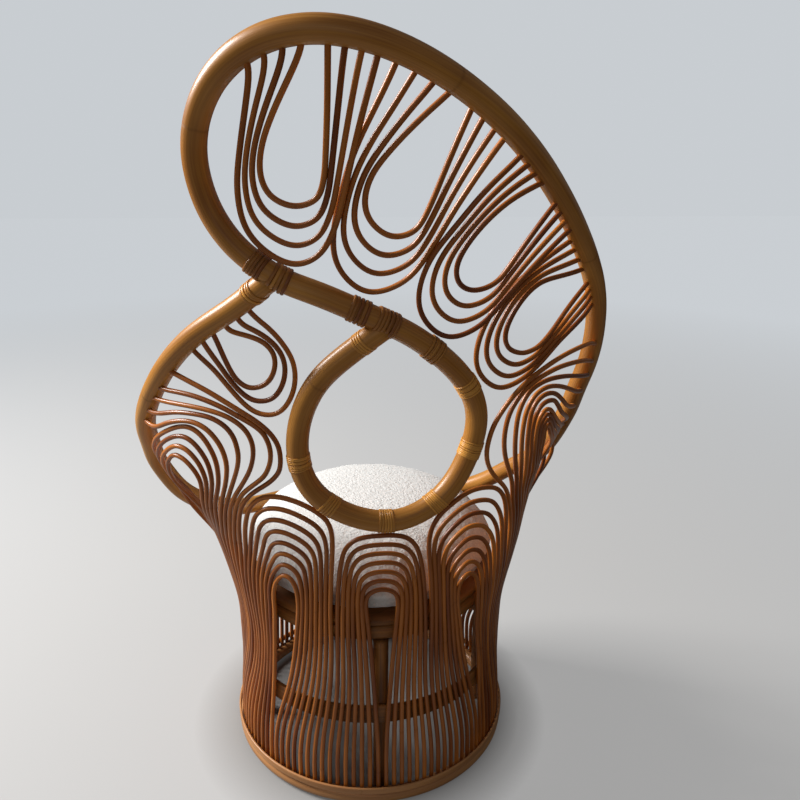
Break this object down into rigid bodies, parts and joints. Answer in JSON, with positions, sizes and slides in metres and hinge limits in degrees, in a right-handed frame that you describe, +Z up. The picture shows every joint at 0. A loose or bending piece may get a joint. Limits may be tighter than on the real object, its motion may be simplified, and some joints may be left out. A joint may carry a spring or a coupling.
{
  "type": "peacock chair",
  "caption": "Rattan armchair: a drum of bent canes, one looped pole that makes wing, hoop and ring of the back, a lower arm on the other side, and a round padded seat cushion.",
  "frame": {"origin": "on the floor, in the middle of the base ring", "axes": "+Z up; the chair faces -Y; +X is towards the low arm, which is the left arm of a person sitting in it"},
  "size_m": [0.879, 0.7003, 1.3729],
  "materials": {
    "pole": "satin lacquer",
    "cane": "satin lacquer",
    "base": "satin lacquer",
    "wrap": "satin",
    "inner": "matt",
    "cushion": "looped pile"
  },
  "bodies": {
    "root": {"back_nest_1_cane_1": "cane", "back_nest_1_cane_2": "cane", "back_nest_1_cane_3": "cane", "back_nest_1_cane_4": "cane", "back_nest_2_cane_1": "cane", "back_nest_2_cane_2": "cane", "back_nest_2_cane_3": "cane", "back_nest_2_cane_4": "cane", "back_nest_3_cane_1": "cane", "back_nest_3_cane_2": "cane", "back_nest_3_cane_3": "cane", "back_nest_3_cane_4": "cane", "back_nest_4_cane_1": "cane", "back_nest_4_cane_2": "cane", "back_nest_4_cane_3": "cane", "back_nest_4_cane_4": "cane", "left_arm_nest_cane_1": "cane", "left_arm_nest_cane_2": "cane", "left_arm_nest_cane_3": "cane", "left_arm_cane_1": "cane", "left_arm_cane_2": "cane", "left_arm_cane_3": "cane", "left_arm_cane_4": "cane", "left_arm_cane_5": "cane", "right_arm_cane_1": "cane", "right_arm_cane_2": "cane", "right_arm_cane_3": "cane", "right_arm_cane_4": "cane", "right_arm_cane_5": "cane", "right_arm_cane_6": "cane", "rear_centre_arch_canes": "cane", "rear_left_arch_canes": "cane", "rear_right_arch_canes": "cane", "left_arm_arch_canes": "cane", "right_arm_arch_canes": "cane", "front_arch_canes": "cane", "main_frame_pole": "pole", "left_arm_pole": "pole", "wrap_arm_joint": "wrap", "wrap_bar_second_nest": "wrap", "wrap_ring_joint": "wrap", "wrap_ring_end": "wrap", "wrap_ring_third_nest": "wrap", "wrap_ring_fourth_nest": "wrap", "wrap_ring_right": "wrap", "wrap_ring_right_low": "wrap", "wrap_ring_bottom": "wrap", "wrap_ring_left_low": "wrap", "wrap_ring_left": "wrap", "wrap_arm_end": "wrap", "base_ring": "base", "base_trim": "base", "mid_hoop": "inner", "seat_ring": "inner", "seat_deck": "inner", "post_1": "inner", "post_2": "inner", "post_3": "inner", "post_4": "inner", "cushion": "cushion"}
  },
  "joints": []
}
